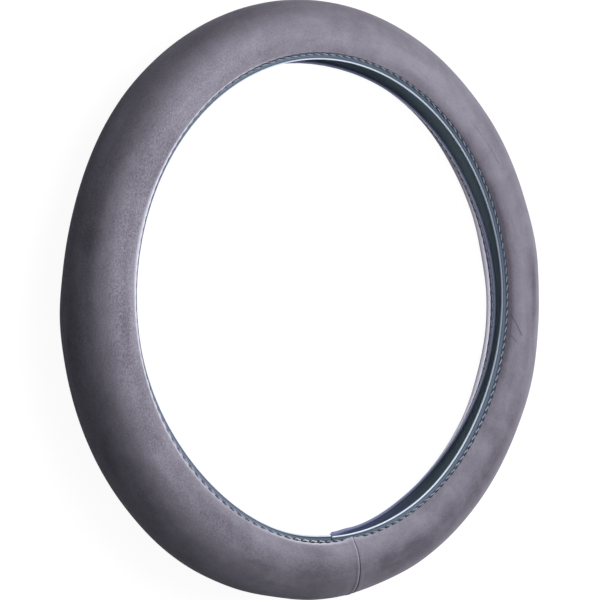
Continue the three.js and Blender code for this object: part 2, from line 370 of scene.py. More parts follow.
class Section:
    """The section of the cover, an ellipse that runs straight on to each lip"""

    clearance = 0.3 * MM
    lip_setback = 0.6 * MM
    bead_radius = 1 * MM
    bead_rise = 0.15 * MM
    fine_groove = bead_radius + 0.6 * MM
    fine_groove_side = 0.25 * MM
    taper = 8 * MM

    def __init__(self, sizes):
        self.radius = (sizes.outer_diameter - sizes.section_width) / 2
        covered = sizes.sleeve_thickness + self.clearance
        self.half_width = sizes.section_width / 2 - covered
        self.half_height = sizes.section_height / 2 - covered
        inner = self.lip_setback - sizes.section_width / 2
        self.lip = Vector((inner, sizes.mouth_height / 2))
        across = self.lip.x / self.half_width
        up = self.lip.y / self.half_height
        self.shoulder = math.atan2(up, across) - math.acos(1 / math.hypot(across, up))
        land = self.on_arc(self.shoulder, 0) - self.lip
        self.land_length = land.length
        self.along = land.normalized()
        self.out = Vector((-self.along.y, self.along.x))
        self.sizes = sizes
        self.thread_space = sizes.thread_diameter / 2 + self.clearance
        self.sewing_line = sizes.land_width - self.thread_space

    def on_arc(self, angle, height):
        """A point over the ellipse of the hoop's outer face"""
        across = math.cos(angle)
        up = math.sin(angle)
        normal = Vector((across / self.half_width, up / self.half_height)).normalized()
        return Vector((across * self.half_width, up * self.half_height)) + normal * height

    def on_land(self, from_lip, height):
        """A point over the straight land beside the upper lip"""
        return self.lip + self.along * from_lip + self.out * height

    def from_lip(self, point):
        """Distance along the land from the nearer lip"""
        return (Vector((point.x, abs(point.y))) - self.lip).dot(self.along)

    def over_land(self, point):
        """Height of a point over the land of the nearer lip"""
        return (Vector((point.x, abs(point.y))) - self.lip).dot(self.out)

    def turn(self, point):
        """Angle of a point round the section, from its outer side over the front"""
        return math.atan2(point.y / self.half_height, point.x / self.half_width)

    def outward(self, point):
        """Direction out of the ellipse at a point of the section"""
        across = point.x / self.half_width**2
        up = point.y / self.half_height**2
        return Vector((across, up)).normalized()

    def sleeve_thickness(self, from_lip):
        """Thickness of the cloth, which tapers towards its sewn edge"""
        share = smooth(from_lip, self.sizes.land_width, self.sizes.land_width + self.taper)
        edge = self.sizes.edge_thickness
        return edge + (self.sizes.sleeve_thickness - edge) * share

    def sleeve_face(self):
        """Upper half of the sleeve's face, from its outer side to its rounded edge"""
        points = []
        for angle in spread(0, self.shoulder, 20):
            past = max(0, angle - math.pi / 2) / (self.shoulder - math.pi / 2)
            from_lip = self.land_length + (1 - past) * self.taper
            points.append(self.on_arc(angle, self.clearance + self.sleeve_thickness(from_lip)))
        edge = self.sizes.land_width + self.sizes.edge_thickness / 2
        for place in spread(self.land_length, edge, 6)[1:]:
            points.append(self.on_land(place, self.clearance + self.sleeve_thickness(place)))
        return points

    def sleeve_half(self):
        """Upper half of the sleeve: its face, its rounded edge and its lining"""
        points = self.sleeve_face()
        nose = self.sizes.edge_thickness / 2
        edge = self.sizes.land_width + nose
        for turn in spread(0, math.pi, 4)[1:]:
            place = edge - nose * math.sin(turn)
            points.append(self.on_land(place, self.clearance + nose * (1 + math.cos(turn))))
        for angle in spread(self.shoulder, 0, 6):
            points.append(self.on_arc(angle, self.clearance))
        return points

    def hoop_half(self):
        """Upper half of the hoop: outer face, sewing groove, land, fine groove, bead, inside"""
        wall = self.sizes.hoop_wall
        bead = self.bead_radius
        rise = self.bead_rise - bead
        groove = self.fine_groove
        points = [self.on_arc(angle, 0) for angle in spread(0, self.shoulder, 8)]
        points.append(self.on_land(self.sewing_line + self.thread_space, 0))
        for turn in spread(0, math.pi, 6)[1:-1]:
            place = self.sewing_line + self.thread_space * 0.8 * math.cos(turn)
            points.append(self.on_land(place, -1.1 * MM * math.sin(turn)))
        points.append(self.on_land(self.sewing_line - self.thread_space, 0))
        points.append(self.on_land(groove + 0.45 * MM, 0.05 * MM))
        points.append(self.on_land(groove + self.fine_groove_side, -0.05 * MM))
        for turn in spread(0, math.pi, 4)[1:-1]:
            place = groove + 0.2 * MM * math.cos(turn)
            points.append(self.on_land(place, -0.4 * MM * math.sin(turn)))
        for turn in spread(-0.25 * math.pi, math.pi, 10):
            place = bead - bead * math.sin(turn)
            points.append(self.on_land(place, rise + bead * math.cos(turn)))
        points += [self.on_land(p, -wall) for p in spread(groove, self.land_length, 6)[:-1]]
        bend = self.shoulder - math.radians(40)
        points += [self.on_arc(angle, -wall) for angle in spread(self.shoulder, bend, 8)]
        points += [self.on_arc(angle, -wall) for angle in spread(bend, 0, 7)[1:]]
        return points


def whole(upper):
    """The closed outline from its upper half, which starts and ends on the middle plane"""
    return upper + [Vector((p.x, -p.y)) for p in reversed(upper[1:-1])]


def drawn(bm, outline, radius):
    """An outline as a loop of edges in the plane through the axis"""
    verts = [bm.verts.new((radius + p.x, 0, p.y)) for p in outline]
    edges = [bm.edges.new((a, b)) for a, b in zip(verts, verts[1:] + verts[:1])]
    return verts + edges


def polar(point):
    """Angle round the ring, and distance from its axis"""
    return math.atan2(point.y, point.x), math.hypot(point.x, point.y)


def goes_round(edge):
    """Whether an edge runs round the ring, and not across it"""
    first, second = (v.co.xy for v in edge.verts)
    return abs(first.cross(second)) > 0.001 * first.length * second.length


def spun(bm, geometry, steps, cuts, angle=FULL_TURN, start=0):
    """The outline, spun round the axis of the ring. Each step is cut into finer ones, whose
    points are then pushed out to the true circle. cuts gives their number at an angle."""
    bmesh.ops.spin(
        bm,
        geom=geometry,
        cent=(0, 0, 0),
        axis=(0, 0, 1),
        dvec=(0, 0, 0),
        angle=angle,
        steps=steps,
        use_merge=angle == FULL_TURN,
        use_normal_flip=False,
        use_duplicate=False,
    )
    bmesh.ops.remove_doubles(bm, verts=bm.verts, dist=0.002 * MM)
    groups = {}
    for edge in filter(goes_round, bm.edges):
        middle = (edge.verts[0].co + edge.verts[1].co) / 2
        groups.setdefault(cuts(polar(middle)[0]), []).append(edge)
    for count, edges in groups.items():
        bmesh.ops.subdivide_edges(bm, edges=edges, cuts=count)
    step = angle / steps
    for vert in bm.verts:
        past = (polar(vert.co)[0] - start) % step
        vert.co.xy *= math.cos(past - step / 2) / math.cos(step / 2)


def nearby(angle, centre, reach):
    """1 at a place round the ring, given in degrees, and 0 from reach on"""
    return bell((math.degrees(angle) - centre + 180) % 360 - 180, reach)


def summed(angle, places):
    """What places round the ring add up to at an angle"""
    return sum(share * nearby(angle, centre, reach) for centre, reach, share in places)


def swelling(angle, places):
    """How far the soft band stands out or in at an angle round the ring"""
    return summed(angle, places) * MM


def unrolled(bm, section):
    """The cloth laid out flat as its UV map: metres round the ring, and round the section"""
    flat = bm.loops.layers.uv.new("cloth")
    for face in bm.faces:
        middle = polar(face.calc_center_median())[0]
        for loop in face.loops:
            angle, radius = polar(loop.vert.co)
            angle += FULL_TURN * round((middle - angle) / FULL_TURN)
            turn = section.turn(Vector((radius - section.radius, loop.vert.co.z)))
            loop[flat].uv = on_cloth(section.radius, angle, turn)


def on_cloth(radius, angle, turn):
    """A place of the flat cloth, from the angles round the ring and round the section"""
    return angle * radius, turn * 20 * MM


def relaxed(bm, section, move=None):
    """The relaxed ring: a piece's own moves, then full and slack places, and out of round"""
    sizes = section.sizes
    for vert in bm.verts:
        angle, distance = polar(vert.co)
        point = Vector((distance - section.radius, vert.co.z))
        if move:
            point, angle = move(vert, point, angle)
        from_lip = section.from_lip(point)
        free = smooth(from_lip, *SWELLING_SETS_IN)
        point = point + section.outward(point) * swelling(angle, FULL_AND_SLACK) * free
        if point.y < 0:
            slack = 1 - smooth(from_lip, *REAR_SLACK_DIES_OUT)
            point.x += swelling(angle, REAR_LIP_SLACK) * slack
            turned = 1 - smooth(from_lip, *REAR_TURN_DIES_OUT)
            point += Vector((0.7, 1)) * (swelling(angle, REAR_LIP_TURNED) * turned)
        else:
            slack = 1 - smooth(from_lip, *FRONT_SLACK_DIES_OUT)
            point.x += swelling(angle, FRONT_LIP_SLACK) * slack
        radius = section.radius + point.x
        radius += sizes.out_of_round * math.cos(2 * (angle - sizes.long_axis))
        height = max(point.y + sizes.middle_height, 0)
        vert.co = (radius * math.cos(angle), radius * math.sin(angle), height)


def finished(bm, name, nodes, material):
    """The mesh as a piece of the cover that replaces its nodes"""
    bmesh.ops.recalc_face_normals(bm, faces=bm.faces)
    for face in bm.faces:
        face.smooth = True
    mesh = bpy.data.meshes.new(name)
    bm.to_mesh(mesh)
    bm.free()
    piece = bpy.data.objects.new(name, mesh)
    bpy.context.scene.collection.objects.link(piece)
    piece.data.materials.append(material)
    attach(piece, "root")
    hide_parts(*nodes)
    return piece


# Materials


def feed(tree, socket, value):
    """An input linked to another node's output, or set to a value"""
    if isinstance(value, bpy.types.NodeSocket):
        tree.links.new(value, socket)
    else:
        socket.default_value = value


def add_node(tree, kind, inputs=None, **settings):
    """A node with its settings, and with its inputs by name"""
    made = tree.nodes.new(kind)
    for name, value in settings.items():
        setattr(made, name, value)
    for name, value in (inputs or {}).items():
        feed(tree, made.inputs[name], value)
    return made


def mottle_group():
    """Uneven patches and grain over a surface, for cloth, rubber and thread alike"""
    name = "mottle_and_grain"
    if name in bpy.data.node_groups:
        return bpy.data.node_groups[name]
    tree = bpy.data.node_groups.new(name, "ShaderNodeTree")
    face = tree.interface
    face.new_socket("Vector", in_out="INPUT", socket_type="NodeSocketVector")
    face.new_socket("Patch scale", in_out="INPUT", socket_type="NodeSocketFloat")
    face.new_socket("Grain scale", in_out="INPUT", socket_type="NodeSocketFloat")
    face.new_socket("Patches", in_out="OUTPUT", socket_type="NodeSocketFloat")
    face.new_socket("Grain", in_out="OUTPUT", socket_type="NodeSocketFloat")
    entry = add_node(tree, "NodeGroupInput")
    patches = add_node(
        tree,
        "ShaderNodeTexNoise",
        {
            "Vector": entry.outputs["Vector"],
            "Scale": entry.outputs["Patch scale"],
            "Detail": 4.0,
            "Roughness": 0.55,
            "Distortion": 0.6,
        },
    )
    grain = add_node(
        tree,
        "ShaderNodeTexNoise",
        {
            "Vector": entry.outputs["Vector"],
            "Scale": entry.outputs["Grain scale"],
            "Detail": 3.0,
            "Roughness": 0.65,
        },
    )
    add_node(
        tree,
        "NodeGroupOutput",
        {"Patches": patches.outputs["Fac"], "Grain": grain.outputs["Fac"]},
    )
    return tree


def new_material(name):
    """An empty material with a Principled shader, and a vector in Object coordinates"""
    material = bpy.data.materials.new(name)
    material.use_nodes = True
    tree = material.node_tree
    tree.nodes.clear()
    shader = add_node(tree, "ShaderNodeBsdfPrincipled")
    add_node(tree, "ShaderNodeOutputMaterial", {"Surface": shader.outputs["BSDF"]})
    place = add_node(tree, "ShaderNodeTexCoord").outputs["Object"]
    return material, tree, shader, place


def mottle(tree, place, patch_scale, grain_scale):
    """The patches and the grain of a material"""
    inputs = {"Vector": place, "Patch scale": patch_scale, "Grain scale": grain_scale}
    made = add_node(tree, "ShaderNodeGroup", inputs, node_tree=mottle_group())
    return made.outputs["Patches"], made.outputs["Grain"]


def ranged(tree, value, low, high, to_low, to_high):
    """A value taken from one range to another, and held inside it"""
    inputs = {
        "Value": value,
        "From Min": low,
        "From Max": high,
        "To Min": to_low,
        "To Max": to_high,
    }
    return add_node(tree, "ShaderNodeMapRange", inputs).outputs["Result"]


def joined(tree, made, values):
    """A node with its inputs in turn"""
    for socket, value in zip(made.inputs, values):
        feed(tree, socket, value)
    return made


def math_node(tree, operation, *values):
    """The result of a sum with numbers"""
    made = joined(tree, add_node(tree, "ShaderNodeMath", operation=operation), values)
    return made.outputs["Value"]


def vector_node(tree, operation, *values):
    """The result of a sum with vectors"""
    made = joined(tree, add_node(tree, "ShaderNodeVectorMath", operation=operation), values)
    wanted = "Value" if operation in ("DOT_PRODUCT", "LENGTH") else "Vector"
    return made.outputs[wanted]


def weighed(tree, start, *shares):
    """A start value and the weighed departures of others from one half"""
    total = start
    for value, weight in shares:
        away = math_node(tree, "SUBTRACT", value, 0.5)
        total = math_node(tree, "MULTIPLY_ADD", away, weight, total)
    return total


def attribute(tree, name):
    """A value that is stored on the points of the mesh"""
    return add_node(tree, "ShaderNodeAttribute", attribute_name=name).outputs["Fac"]


def blended(tree, share, first, second):
    """A colour between two others"""
    made = add_node(tree, "ShaderNodeMix", data_type="RGBA", clamp_factor=False)
    for name, value in (("Factor_Float", share), ("A_Color", first), ("B_Color", second)):
        feed(tree, next(s for s in made.inputs if s.identifier == name), value)
    return next(s for s in made.outputs if s.identifier == "Result_Color")


def crease_group():
    """A soft line between two places of the flat cloth"""
    name = "crease"
    if name in bpy.data.node_groups:
        return bpy.data.node_groups[name]
    tree = bpy.data.node_groups.new(name, "ShaderNodeTree")
    face = tree.interface
    for socket in ("Vector", "Start", "End"):
        face.new_socket(socket, in_out="INPUT", socket_type="NodeSocketVector")
    face.new_socket("Width", in_out="INPUT", socket_type="NodeSocketFloat")
    face.new_socket("Mark", in_out="OUTPUT", socket_type="NodeSocketFloat")
    entry = add_node(tree, "NodeGroupInput")
    place, start, end, width = (entry.outputs[i] for i in range(4))
    whole_way = vector_node(tree, "SUBTRACT", end, start)
    gone = vector_node(tree, "SUBTRACT", place, start)
    length = vector_node(tree, "DOT_PRODUCT", whole_way, whole_way)
    share = vector_node(tree, "DOT_PRODUCT", gone, whole_way)
    share = ranged(tree, math_node(tree, "DIVIDE", share, length), 0.0, 1.0, 0.0, 1.0)
    nearest = vector_node(tree, "MULTIPLY", whole_way, share)
    away = vector_node(tree, "LENGTH", vector_node(tree, "SUBTRACT", gone, nearest))
    mark = ranged(tree, away, 0.0, width, 1.0, 0.0)
    add_node(tree, "NodeGroupOutput", {"Mark": mark})
    return tree


def creases(tree, flat, radius):
    """The creases of the worn cloth, the strongest where two of them meet"""
    total = 0.0
    for start, end, width, depth in CREASES:
        made = add_node(tree, "ShaderNodeGroup", node_tree=crease_group())
        ends = [(*on_cloth(radius, *map(math.radians, place)), 0) for place in (start, end)]
        joined(tree, made, (flat, ends[0], ends[1], width * MM))
        deep = math_node(tree, "MULTIPLY", made.outputs["Mark"], depth)
        total = math_node(tree, "MAXIMUM", total, deep)
    return total


def suede_material(colours):
    """Short nap, mottled and stroked, with painted light and shade over it, painted highlights
    along its sewn edges and the seam's ridge, and painted shade in the seam and the creases
    """
    material, tree, shader, place = new_material("suede_nap")
    radius = Section(bpy.context.scene.cover_sizes).radius
    flat = add_node(tree, "ShaderNodeUVMap", uv_map="cloth").outputs["UV"]
    broad, fibres = mottle(tree, place, patch_scale=24.0, grain_scale=2600.0)
    small, specks = mottle(tree, place, patch_scale=100.0, grain_scale=1000.0)
    stroked = add_node(
        tree,
        "ShaderNodeMapping",
        {"Vector": flat, "Rotation": (0, 0, math.radians(35)), "Scale": (0.35, 1.4, 1)},
    )
    strokes, fine = mottle(tree, stroked.outputs["Vector"], patch_scale=90.0, grain_scale=900.0)
    grain = math_node(tree, "MULTIPLY", attribute(tree, "grain"), 4.5)
    # Painted light and shade of the nap, with random patches, strokes and grain over it
    share = weighed(
        tree,
        attribute(tree, "nap"),
        (broad, 1.4),
        (small, 0.7),
        (strokes, 1.0),
        (fine, 0.6),
        (specks, grain),
    )
    dark, light = tuple(colours.suede_dark), tuple(colours.suede)
    share = ranged(tree, share, -0.4, 1.6, -0.4, 1.6)
    colour = blended(tree, share, dark, light)
    # Painted shade in the seam and the creases, which the bump also sinks
    marks = math_node(tree, "MAXIMUM", attribute(tree, "seam"), creases(tree, flat, radius))
    crease_shade = math_node(tree, "MULTIPLY", marks, 0.5)
    colour = blended(tree, crease_shade, colour, CREASE_SHADE)
    # Painted highlight along the sewn edges and on the seam's ridge
    colour = blended(tree, attribute(tree, "raised"), colour, tuple(colours.suede_highlight))
    tree.links.new(colour, shader.inputs["Base Color"])
    shader.inputs["Roughness"].default_value = 0.95
    shader.inputs["Specular IOR Level"].default_value = 0.15
    shader.inputs["Sheen Weight"].default_value = 0.35
    shader.inputs["Sheen Roughness"].default_value = 0.45
    shader.inputs["Sheen Tint"].default_value = (0.75, 0.73, 0.85, 1)
    height = math_node(tree, "ADD", fibres, specks)
    height = math_node(tree, "MULTIPLY_ADD", marks, -3.0, height)
    bump = add_node(
        tree,
        "ShaderNodeBump",
        {"Strength": 0.5, "Distance": 0.25 * MM, "Height": height},
    )
    tree.links.new(bump.outputs["Normal"], shader.inputs["Normal"])
    return material


def rubber_material(colours):
    """Slate rubber, dusty in places, with a painted highlight on the crest of its bead, painted
    light inside the hoop, on the lips and beside the joint, and painted shade in its grooves
    """
    material, tree, shader, place = new_material("slate_rubber")
    patches, grain = mottle(tree, place, patch_scale=60.0, grain_scale=1500.0)
    base = tuple(colours.rubber)
    dusty = tuple(min(1, c * 1.35) for c in base[:3]) + (1,)
    share = ranged(tree, patches, 0.35, 0.7, 0.0, 1.0)
    colour = blended(tree, share, base, dusty)
    # Painted highlight on the bead, painted shade in the grooves, painted light inside the hoop,
    # on the lips and beside the joint, and dust on the land
    tones = {
        "land": colours.rubber_land,
        "inside": colours.rubber_inside_painted_light,
        "painted_rim_light": colours.rubber_rim_painted_light,
        "painted_joint_light": colours.rubber_joint_painted_light,
        "groove": GROOVE_SHADE,
        "bead": colours.bead,
    }
    for name, tone in tones.items():
        colour = blended(tree, attribute(tree, name), colour, tuple(tone))
    tree.links.new(colour, shader.inputs["Base Color"])
    rough = ranged(tree, grain, 0.3, 0.7, 0.5, 0.62)
    rough = math_node(tree, "MULTIPLY_ADD", attribute(tree, "bead"), -0.25, rough)
    tree.links.new(rough, shader.inputs["Roughness"])
    shader.inputs["Specular IOR Level"].default_value = 0.25
    return material


def thread_material(colours):
    """Spun thread, with a painted highlight beside the joint of the hoop and painted shade where
    it dips
    """
    material, tree, shader, place = new_material("sewing_thread")
    _, grain = mottle(tree, place, patch_scale=300.0, grain_scale=3000.0)
    base = tuple(colours.thread)
    dark = tuple(c * 0.6 for c in base[:3]) + (1,)
    share = ranged(tree, grain, 0.3, 0.6, 0.0, 1.0)
    colour = blended(tree, share, dark, base)
    # Painted highlight on the thread beside the joint
    colour = blended(tree, attribute(tree, "joint_highlight"), colour, THREAD_HIGHLIGHT)
    # Painted shade where the thread dips
    colour = blended(tree, attribute(tree, "groove"), colour, GROOVE_SHADE)
    tree.links.new(colour, shader.inputs["Base Color"])
    shader.inputs["Roughness"].default_value = 0.6
    bump = add_node(
        tree,
        "ShaderNodeBump",
        {"Strength": 0.6, "Distance": 0.1 * MM, "Height": grain},
    )
    tree.links.new(bump.outputs["Normal"], shader.inputs["Normal"])
    return material


def shared_material(name, maker):
    """A material that several pieces share, made once"""
    if name not in bpy.data.materials:
        maker(bpy.context.scene.cover_colours)
    return bpy.data.materials[name]


# The pieces


class COVER_OT_rubber_hoop(bpy.types.Operator):
    """Build the rubber hoop, open at its joint, with a beaded lip round each side of its mouth"""

    bl_idname = "cover.rubber_hoop"
    bl_label = "Rubber hoop"

    joint_gap = 1.3 * MM
    joint_slant = math.radians(38)
    slant_reach = math.radians(14)
    lip_step = 2.1 * MM
    step_length = 40 * MM
    set_back = 3 * MM
    back_reach = math.radians(60)
    end_back = 2.6 * MM
    end_reach = math.radians(7)
    front_end = 1.1 * MM
    front_reach = math.radians(18)
    rounding = 2.5 * MM

    def tones(self, section, point, angle):
        """How much a point takes the painted highlight on the crest of the bead, painted shade in
        a groove, painted light inside the hoop, painted violet light on the lips, dust on the
        land, and painted light beside the joint"""
        place = section.from_lip(point)
        height = section.over_land(point)
        bead = section.bead_radius
        # Painted highlight on the crest of the bead
        crest_highlight = 0
        if place < 2 * bead and height > -bead:
            round_bead = math.atan2(bead - place, height - section.bead_rise + bead)
            crest_highlight = bell(round_bead - 0.1 * math.pi, 0.32 * math.pi)
            crest_highlight *= 1 - summed(angle, WEAKER_BEAD_HIGHLIGHT)
        sewn = abs(place - section.sewing_line) < 0.95 * section.thread_space
        fine = abs(place - section.fine_groove) < section.fine_groove_side
        # Painted shade in the sewing groove and the fine groove
        groove = 0
        if (sewn or fine) and -bead < height < 0.02 * MM:
            groove = 0.7 if fine else 0.45
        # Painted light inside the hoop
        inside_light = smooth(-height, 0.7 * section.sizes.hoop_wall, section.sizes.hoop_wall)
        # Painted violet light on the lips, and on the inner rim behind the rear lip
        painted_joint_light = painted_rim_light = 0
        if height > -0.5 * bead:
            painted_rim_light = 0.7 * nearby(angle, *FRONT_LIP_VIOLET_LIGHT) if point.y > 0 else 1
        # Painted light inside the rear lip beside the joint
        elif point.y < 0:
            deep = 0.3 + 0.7 * smooth(place, 1 * MM, 8 * MM)
            ends = 1 - smooth(place, 20 * MM, 28 * MM)
            painted_joint_light = deep * nearby(angle, *JOINT_PAINTED_LIGHT) * ends
            painted_rim_light = (1 - smooth(place, 3 * MM, 6 * MM)) * (1 - painted_joint_light)
        land = 1 - 0.85 * nearby(angle, *CLEAN_LAND) if height > -1.5 * MM else 0
        return crest_highlight, groove, inside_light, painted_rim_light, land, painted_joint_light

    def execute(self, context):
        section = Section(context.scene.cover_sizes)
        bm = bmesh.new()
        geometry = drawn(bm, whole(section.hoop_half()), section.radius)
        face = bm.faces.new([v for v in geometry if isinstance(v, bmesh.types.BMVert)])
        half_gap = self.joint_gap / 2 / section.radius
        turn = Matrix.Rotation(half_gap, 3, "Z")
        bmesh.ops.rotate(bm, verts=bm.verts, cent=(0, 0, 0), matrix=turn)
        turn_left = FULL_TURN - 2 * half_gap
        spun(bm, geometry + [face], 88, lambda angle: 6, turn_left, half_gap)
        foot = section.on_land(section.sewing_line - section.thread_space, 0)

        names = ("bead", "groove", "inside", "painted_rim_light", "land", "painted_joint_light")
        layers = [bm.verts.layers.float.new(name) for name in names]

        def ends_moved(vert, point, angle):
            """Past the joint the end of the rear lip stands in towards the middle, and before
            the joint it stands back, and the end of the front lip in"""
            for layer, tone in zip(layers, self.tones(section, point, angle)):
                vert[layer] = tone
            on_lip = max(min((foot.x - point.x) / (foot.x - section.lip.x), 1), 0)
            gone = angle * (section.radius + section.lip.x)
            back = 0
            if point.y < 0 and 0 < gone < self.step_length:
                step = (1 - gone / self.step_length) ** 2 - bell(gone, self.rounding)
                back = -self.lip_step * step
            elif point.y < 0 and angle < 0:
                back = self.set_back * bell(angle, self.back_reach)
                back += self.end_back * bell(angle, self.end_reach)
            elif point.y > 0 and angle < 0:
                back = -self.front_end * bell(angle, self.front_reach)
            point = point + Vector((back * on_lip, 0))
            leaned = (section.lip.y - point.y) * math.tan(self.joint_slant) / section.radius
            return point, angle + leaned * bell(angle, self.slant_reach)

        relaxed(bm, section, ends_moved)
        material = shared_material("slate_rubber", rubber_material)
        finished(bm, "rubber_hoop", ["rubber_ring"], material)
        return {"FINISHED"}


class COVER_OT_suede_sleeve(bpy.types.Operator):
    """Build the suede sleeve, drawn in by its sewing and closed by its cross seam"""

    bl_idname = "cover.suede_sleeve"
    bl_label = "Suede sleeve"

    seam_depth = 0.34 * MM
    seam_width = 0.36 * MM
    pucker = 0.22 * MM

    def seam_angle(self, section, point):
        """Angle of the seam, which bows a little over the front of the sleeve"""
        past_top = (abs(section.turn(point)) - math.radians(88)) / math.radians(50)
        bow = min(past_top * past_top, 1.6) * 2.1 * MM - 0.6 * MM
        return (section.sizes.seam_from_joint + bow) / section.radius

    def painted_nap_shading(self, angle, turn):
        """Painted light and shade of the nap at a place of the sleeve"""
        shade = 0.5
        for ring, section, ring_reach, reach, rise in PAINTED_NAP_SHADE:
            across = bell(math.degrees(turn) - section, reach)
            shade += rise * nearby(angle, ring, ring_reach) * across
        return shade

    def execute(self, context):
        sizes = context.scene.cover_sizes
        section = Section(sizes)
        bm = bmesh.new()
        geometry = drawn(bm, whole(section.sleeve_half()), section.radius)
        pitch = FULL_TURN / sizes.stitches
        middle = sizes.seam_from_joint / section.radius
        spun(bm, geometry, sizes.stitches, lambda at: 31 if abs(at - middle) < 2 * pitch else 7)
        unrolled(bm, section)
        layers = bm.verts.layers.float
        crease, raised, nap, grain = (layers.new(n) for n in ("seam", "raised", "nap", "grain"))

        def shape(vert, point, angle):
            """The sewn edge drawn down and puckered, the seam's crease and welt, and masks of
            painted light and shade
            """
            seam = self.seam_angle(section, point)
            from_lip = section.from_lip(point)
            side = Vector((section.out.x, math.copysign(section.out.y, point.y)))
            along = Vector((section.along.x, math.copysign(section.along.y, point.y)))
            drawn_down = 1 - smooth(from_lip, sizes.land_width, sizes.land_width + 4 * MM)
            front = point.y > 0
            drawn_back = FRONT_DRAWN_BACK if front else REAR_DRAWN_BACK
            point = point + along * (swelling(angle, drawn_back) * drawn_down)
            wave = math.cos(FULL_TURN * angle / pitch)
            point = point + along * (self.pucker * wave * drawn_down)
            point += side * (0.6 * self.pucker * wave * drawn_down * (1 - drawn_down) * 4)
            beside = (angle - seam) * (section.radius + point.x)
            groove = math.exp(-((beside / self.seam_width) ** 2))
            swell = math.exp(-(((abs(beside) - 1.8 * MM) / (1.3 * MM)) ** 2))
            normal = section.outward(point)
            swell *= 0.3 * MM if beside < 0 else 0.1 * MM
            point += normal * (swell - self.seam_depth * groove)
            reach = 1.6 * MM if beside < 0 else 0.9 * MM
            at_seam = drawn_down * bell(beside, 12 * MM)
            point -= along * (reach * at_seam)
            point += side * (0.5 * MM * at_seam)
            # The seam's groove, also the mask of its painted shade
            vert[crease] = groove
            # Painted highlight on the ridge beside the seam and along the sewn edge, wider at one
            # place round the ring
            ridge_highlight = 0.15 * bell(beside + 0.95 * MM, 0.55 * MM)
            fade = (3 + 4 * nearby(angle, *WIDE_EDGE_HIGHLIGHT) if front else 12) * MM
            edge_highlight = 1 - smooth(from_lip, sizes.land_width + 0.3 * MM, sizes.land_width + fade)
            edge_highlight *= summed(angle, FRONT_EDGE_HIGHLIGHT if front else REAR_EDGE_HIGHLIGHT)
            vert[raised] = min(max(edge_highlight, ridge_highlight), 1)
            # Painted light and shade of the nap
            vert[nap] = self.painted_nap_shading(angle, section.turn(point))
            lit = smooth(section.turn(point), math.radians(65), math.radians(95))
            coarse = 0.25 + 0.75 * nearby(angle, *COARSE_GRAIN)
            vert[grain] = coarse * (0.4 + 0.6 * lit)
            return point, angle

        relaxed(bm, section, shape)
        material = shared_material("suede_nap", suede_material)
        sleeve = finished(bm, "suede_sleeve_cloth", ["suede_sleeve"], material)
        self.declare(sleeve, section)
        return {"FINISHED"}

    def declare(self, sleeve, section):
        """Works out the upper half of the sleeve's face, and does nothing more with it"""
        face = section.sleeve_face()


class COVER_OT_stitching(bpy.types.Operator):
    """Build the sewing on both lips, one thread each that dips between the stitches"""

    bl_idname = "cover.stitching"
    bl_label = "Stitching"

    rise = 0.45 * MM
    rubbed_rise = 0.2 * MM
    dip = 1.2 * MM
    slant = 0.25 * MM
    pulled = 0.45
    joint_side = math.radians(8)
    rear_depth = 0.7

    def row(self, section, side, name, node):
        """One row of stitches, on the front lip (side 1) or the rear one (side -1)"""
        sizes = section.sizes
        bm = bmesh.new()
        radius = sizes.thread_diameter / 2
        made = bmesh.ops.create_circle(bm, segments=8, radius=radius)
        line = section.on_land(section.sewing_line, 0)
        line = Vector((line.x, side * line.y))
        out = Vector((section.out.x, side * section.out.y))
        along = Vector((section.along.x, side * section.along.y))
        upright = Matrix.Rotation(math.pi / 2, 3, "X")
        bmesh.ops.rotate(bm, verts=made["verts"], cent=(0, 0, 0), matrix=upright)
        bmesh.ops.translate(bm, verts=made["verts"], vec=(section.radius + line.x, 0, line.y))
        spun(bm, bm.verts[:] + bm.edges[:], sizes.stitches, lambda angle: 7)

        # Mask of painted shade where the thread dips into its groove, and along the rear row
        dip_shade = bm.verts.layers.float.new("groove")
        # Mask of a painted highlight on the thread beside the joint, which also lifts it there
        joint_highlight = bm.verts.layers.float.new("joint_highlight")

        def sew(vert, point, angle):
            """The thread up over each stitch, and pulled down between two of them"""
            stitch = FULL_TURN * ((angle * sizes.stitches / FULL_TURN) % 1 - 0.5)
            wave = math.cos(stitch)
            loose = nearby(angle, *LOOSE_SEWING)
            up = smooth(wave, -0.97 + 0.3 * loose, -0.6 + 0.5 * loose)
            deep = nearby(angle, *DEEP_SEWING) if side > 0 else self.rear_depth
            sunk = 1 - smooth(wave, -0.9 + 0.4 * loose, -0.6 + 0.5 * loose)
            vert[dip_shade] = sunk * (1 - deep) + 0.3 * deep
            vert[joint_highlight] = 0.5 * bell(angle + self.joint_side, self.joint_side)
            point = line + (point - line) * (1 - self.pulled * (1 - up))
            rise = self.rise * (1 - 0.7 * deep) + self.rubbed_rise * vert[joint_highlight]
            point += out * (-self.dip + (rise + self.dip) * up)
            point += along * (self.slant * math.sin(stitch))
            return point, angle

        relaxed(bm, section, sew)
        material = shared_material("sewing_thread", thread_material)
        finished(bm, name, [node], material)

    def execute(self, context):
        section = Section(context.scene.cover_sizes)
        self.row(section, 1, "front_stitches", "front_stitching")
        self.row(section, -1, "rear_stitches", "rear_stitching")
        return {"FINISHED"}


class COVER_OT_seam_thread(bpy.types.Operator):
    """Give the thread inside the cross seam its finish"""

    bl_idname = "cover.seam_thread"
    bl_label = "Seam thread"

    def execute(self, context):
        node = bpy.data.objects["seam_stitching"]
        material = shared_material("sewing_thread", thread_material)
        node.data.materials.clear()
        node.data.materials.append(material)
        return {"FINISHED"}


